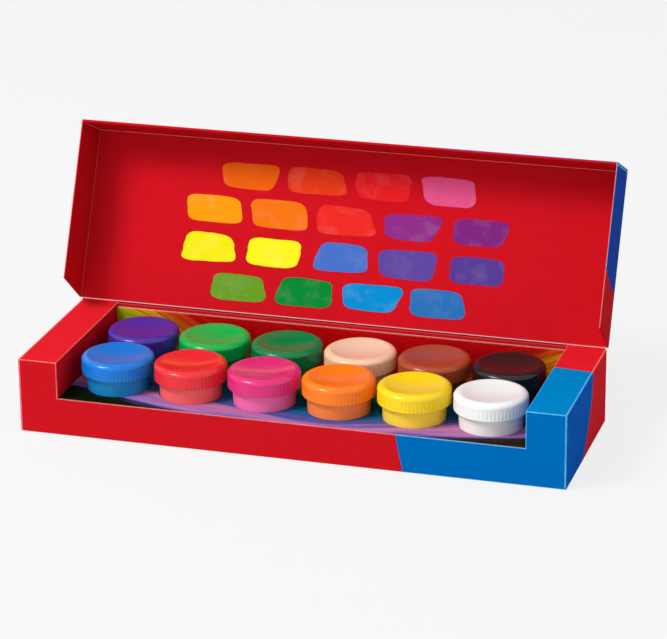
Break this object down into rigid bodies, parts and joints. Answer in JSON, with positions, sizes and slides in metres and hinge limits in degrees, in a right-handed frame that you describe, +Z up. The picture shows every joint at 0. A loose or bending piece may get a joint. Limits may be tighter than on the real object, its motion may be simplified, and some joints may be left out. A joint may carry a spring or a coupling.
{
  "type": "gouache paint set box",
  "caption": "Flat folding-board paint box with a hinged lid, a windowed front, closed end columns and a holed platform that carries rows of round screw-cap paint pots.",
  "frame": {"origin": "middle of the tray's base, on the surface it stands on", "axes": "+X along the box to the right, +Y from the window to the hinge, +Z up"},
  "size_m": [0.2778, 0.1257, 0.1312],
  "materials": {
    "carton_print": "satin printed folding board, red with blue areas",
    "platform_print": "satin printed folding board with painted streaks",
    "seal": "soft white sealing ring",
    "cap_blue": "glossy moulded plastic",
    "pot_blue": "thin, slightly milky moulded plastic over the paint",
    "paint_blue": "opaque matt gouache",
    "cap_red": "glossy moulded plastic",
    "pot_red": "thin, slightly milky moulded plastic over the paint",
    "paint_red": "opaque matt gouache",
    "cap_magenta": "glossy moulded plastic",
    "pot_magenta": "thin, slightly milky moulded plastic over the paint",
    "paint_magenta": "opaque matt gouache",
    "cap_orange": "glossy moulded plastic",
    "pot_orange": "thin, slightly milky moulded plastic over the paint",
    "paint_orange": "opaque matt gouache",
    "cap_yellow": "glossy moulded plastic",
    "pot_yellow": "thin, slightly milky moulded plastic over the paint",
    "paint_yellow": "opaque matt gouache",
    "cap_white": "glossy moulded plastic",
    "pot_white": "thin, slightly milky moulded plastic over the paint",
    "paint_white": "opaque matt gouache",
    "cap_violet": "glossy moulded plastic",
    "pot_violet": "thin, slightly milky moulded plastic over the paint",
    "paint_violet": "opaque matt gouache",
    "cap_light_green": "glossy moulded plastic",
    "pot_light_green": "thin, slightly milky moulded plastic over the paint",
    "paint_light_green": "opaque matt gouache",
    "cap_dark_green": "glossy moulded plastic",
    "pot_dark_green": "thin, slightly milky moulded plastic over the paint",
    "paint_dark_green": "opaque matt gouache",
    "cap_peach": "glossy moulded plastic",
    "pot_peach": "thin, slightly milky moulded plastic over the paint",
    "paint_peach": "opaque matt gouache",
    "cap_brown": "glossy moulded plastic",
    "pot_brown": "thin, slightly milky moulded plastic over the paint",
    "paint_brown": "opaque matt gouache",
    "cap_black": "glossy moulded plastic",
    "pot_black": "thin, slightly milky moulded plastic over the paint",
    "paint_black": "opaque matt gouache"
  },
  "bodies": {
    "tray": {"tray_carton": "carton_print", "left_column": "carton_print", "right_column": "carton_print", "pot_platform": "platform_print"},
    "lid": {"lid_carton": "carton_print"},
    "pot_01": {"pot_01": "pot_blue", "paint_01": "paint_blue"},
    "seal_01": {"seal_01": "seal"},
    "cap_01": {"cap_01": "cap_blue"},
    "pot_02": {"pot_02": "pot_red", "paint_02": "paint_red"},
    "seal_02": {"seal_02": "seal"},
    "cap_02": {"cap_02": "cap_red"},
    "pot_03": {"pot_03": "pot_magenta", "paint_03": "paint_magenta"},
    "seal_03": {"seal_03": "seal"},
    "cap_03": {"cap_03": "cap_magenta"},
    "pot_04": {"pot_04": "pot_orange", "paint_04": "paint_orange"},
    "seal_04": {"seal_04": "seal"},
    "cap_04": {"cap_04": "cap_orange"},
    "pot_05": {"pot_05": "pot_yellow", "paint_05": "paint_yellow"},
    "seal_05": {"seal_05": "seal"},
    "cap_05": {"cap_05": "cap_yellow"},
    "pot_06": {"pot_06": "pot_white", "paint_06": "paint_white"},
    "seal_06": {"seal_06": "seal"},
    "cap_06": {"cap_06": "cap_white"},
    "pot_07": {"pot_07": "pot_violet", "paint_07": "paint_violet"},
    "seal_07": {"seal_07": "seal"},
    "cap_07": {"cap_07": "cap_violet"},
    "pot_08": {"pot_08": "pot_light_green", "paint_08": "paint_light_green"},
    "seal_08": {"seal_08": "seal"},
    "cap_08": {"cap_08": "cap_light_green"},
    "pot_09": {"pot_09": "pot_dark_green", "paint_09": "paint_dark_green"},
    "seal_09": {"seal_09": "seal"},
    "cap_09": {"cap_09": "cap_dark_green"},
    "pot_10": {"pot_10": "pot_peach", "paint_10": "paint_peach"},
    "seal_10": {"seal_10": "seal"},
    "cap_10": {"cap_10": "cap_peach"},
    "pot_11": {"pot_11": "pot_brown", "paint_11": "paint_brown"},
    "seal_11": {"seal_11": "seal"},
    "cap_11": {"cap_11": "cap_brown"},
    "pot_12": {"pot_12": "pot_black", "paint_12": "paint_black"},
    "seal_12": {"seal_12": "seal"},
    "cap_12": {"cap_12": "cap_black"}
  },
  "joints": [
    {"name": "lid_hinge", "type": "hinge", "parent": "tray", "child": "lid", "pos_m": [0, 0.0437, 0.0386], "axis": [-1, 0, 0], "range_deg": [-115, 90]},
    {"name": "pot_lift_01", "type": "slide", "parent": "tray", "child": "pot_01", "axis": [0, 0, 1], "range_m": [0, 0.045]},
    {"name": "seal_lift_01", "type": "slide", "parent": "pot_01", "child": "seal_01", "axis": [0, 0, 1], "range_m": [0, 0.0075]},
    {"name": "cap_turn_01", "type": "hinge", "parent": "seal_01", "child": "cap_01", "pos_m": [-0.095, -0.01875, 0.0316], "axis": [0, 0, 1], "range_deg": [0, 900]},
    {"name": "pot_lift_02", "type": "slide", "parent": "tray", "child": "pot_02", "axis": [0, 0, 1], "range_m": [0, 0.045]},
    {"name": "seal_lift_02", "type": "slide", "parent": "pot_02", "child": "seal_02", "axis": [0, 0, 1], "range_m": [0, 0.0075]},
    {"name": "cap_turn_02", "type": "hinge", "parent": "seal_02", "child": "cap_02", "pos_m": [-0.057, -0.01875, 0.0316], "axis": [0, 0, 1], "range_deg": [0, 900]},
    {"name": "pot_lift_03", "type": "slide", "parent": "tray", "child": "pot_03", "axis": [0, 0, 1], "range_m": [0, 0.045]},
    {"name": "seal_lift_03", "type": "slide", "parent": "pot_03", "child": "seal_03", "axis": [0, 0, 1], "range_m": [0, 0.0075]},
    {"name": "cap_turn_03", "type": "hinge", "parent": "seal_03", "child": "cap_03", "pos_m": [-0.019, -0.01875, 0.0316], "axis": [0, 0, 1], "range_deg": [0, 900]},
    {"name": "pot_lift_04", "type": "slide", "parent": "tray", "child": "pot_04", "axis": [0, 0, 1], "range_m": [0, 0.045]},
    {"name": "seal_lift_04", "type": "slide", "parent": "pot_04", "child": "seal_04", "axis": [0, 0, 1], "range_m": [0, 0.0075]},
    {"name": "cap_turn_04", "type": "hinge", "parent": "seal_04", "child": "cap_04", "pos_m": [0.019, -0.01875, 0.0316], "axis": [0, 0, 1], "range_deg": [0, 900]},
    {"name": "pot_lift_05", "type": "slide", "parent": "tray", "child": "pot_05", "axis": [0, 0, 1], "range_m": [0, 0.045]},
    {"name": "seal_lift_05", "type": "slide", "parent": "pot_05", "child": "seal_05", "axis": [0, 0, 1], "range_m": [0, 0.0075]},
    {"name": "cap_turn_05", "type": "hinge", "parent": "seal_05", "child": "cap_05", "pos_m": [0.057, -0.01875, 0.0316], "axis": [0, 0, 1], "range_deg": [0, 900]},
    {"name": "pot_lift_06", "type": "slide", "parent": "tray", "child": "pot_06", "axis": [0, 0, 1], "range_m": [0, 0.045]},
    {"name": "seal_lift_06", "type": "slide", "parent": "pot_06", "child": "seal_06", "axis": [0, 0, 1], "range_m": [0, 0.0075]},
    {"name": "cap_turn_06", "type": "hinge", "parent": "seal_06", "child": "cap_06", "pos_m": [0.095, -0.01875, 0.0316], "axis": [0, 0, 1], "range_deg": [0, 900]},
    {"name": "pot_lift_07", "type": "slide", "parent": "tray", "child": "pot_07", "axis": [0, 0, 1], "range_m": [0, 0.045]},
    {"name": "seal_lift_07", "type": "slide", "parent": "pot_07", "child": "seal_07", "axis": [0, 0, 1], "range_m": [0, 0.0075]},
    {"name": "cap_turn_07", "type": "hinge", "parent": "seal_07", "child": "cap_07", "pos_m": [-0.095, 0.01875, 0.0316], "axis": [0, 0, 1], "range_deg": [0, 900]},
    {"name": "pot_lift_08", "type": "slide", "parent": "tray", "child": "pot_08", "axis": [0, 0, 1], "range_m": [0, 0.045]},
    {"name": "seal_lift_08", "type": "slide", "parent": "pot_08", "child": "seal_08", "axis": [0, 0, 1], "range_m": [0, 0.0075]},
    {"name": "cap_turn_08", "type": "hinge", "parent": "seal_08", "child": "cap_08", "pos_m": [-0.057, 0.01875, 0.0316], "axis": [0, 0, 1], "range_deg": [0, 900]},
    {"name": "pot_lift_09", "type": "slide", "parent": "tray", "child": "pot_09", "axis": [0, 0, 1], "range_m": [0, 0.045]},
    {"name": "seal_lift_09", "type": "slide", "parent": "pot_09", "child": "seal_09", "axis": [0, 0, 1], "range_m": [0, 0.0075]},
    {"name": "cap_turn_09", "type": "hinge", "parent": "seal_09", "child": "cap_09", "pos_m": [-0.019, 0.01875, 0.0316], "axis": [0, 0, 1], "range_deg": [0, 900]},
    {"name": "pot_lift_10", "type": "slide", "parent": "tray", "child": "pot_10", "axis": [0, 0, 1], "range_m": [0, 0.045]},
    {"name": "seal_lift_10", "type": "slide", "parent": "pot_10", "child": "seal_10", "axis": [0, 0, 1], "range_m": [0, 0.0075]},
    {"name": "cap_turn_10", "type": "hinge", "parent": "seal_10", "child": "cap_10", "pos_m": [0.019, 0.01875, 0.0316], "axis": [0, 0, 1], "range_deg": [0, 900]},
    {"name": "pot_lift_11", "type": "slide", "parent": "tray", "child": "pot_11", "axis": [0, 0, 1], "range_m": [0, 0.045]},
    {"name": "seal_lift_11", "type": "slide", "parent": "pot_11", "child": "seal_11", "axis": [0, 0, 1], "range_m": [0, 0.0075]},
    {"name": "cap_turn_11", "type": "hinge", "parent": "seal_11", "child": "cap_11", "pos_m": [0.057, 0.01875, 0.0316], "axis": [0, 0, 1], "range_deg": [0, 900]},
    {"name": "pot_lift_12", "type": "slide", "parent": "tray", "child": "pot_12", "axis": [0, 0, 1], "range_m": [0, 0.045]},
    {"name": "seal_lift_12", "type": "slide", "parent": "pot_12", "child": "seal_12", "axis": [0, 0, 1], "range_m": [0, 0.0075]},
    {"name": "cap_turn_12", "type": "hinge", "parent": "seal_12", "child": "cap_12", "pos_m": [0.095, 0.01875, 0.0316], "axis": [0, 0, 1], "range_deg": [0, 900]}
  ],
  "couplings": [
    {"joint": "seal_lift_01", "follows": "cap_turn_01", "m_per_rad": 0.00047746},
    {"joint": "seal_lift_02", "follows": "cap_turn_02", "m_per_rad": 0.00047746},
    {"joint": "seal_lift_03", "follows": "cap_turn_03", "m_per_rad": 0.00047746},
    {"joint": "seal_lift_04", "follows": "cap_turn_04", "m_per_rad": 0.00047746},
    {"joint": "seal_lift_05", "follows": "cap_turn_05", "m_per_rad": 0.00047746},
    {"joint": "seal_lift_06", "follows": "cap_turn_06", "m_per_rad": 0.00047746},
    {"joint": "seal_lift_07", "follows": "cap_turn_07", "m_per_rad": 0.00047746},
    {"joint": "seal_lift_08", "follows": "cap_turn_08", "m_per_rad": 0.00047746},
    {"joint": "seal_lift_09", "follows": "cap_turn_09", "m_per_rad": 0.00047746},
    {"joint": "seal_lift_10", "follows": "cap_turn_10", "m_per_rad": 0.00047746},
    {"joint": "seal_lift_11", "follows": "cap_turn_11", "m_per_rad": 0.00047746},
    {"joint": "seal_lift_12", "follows": "cap_turn_12", "m_per_rad": 0.00047746}
  ]
}
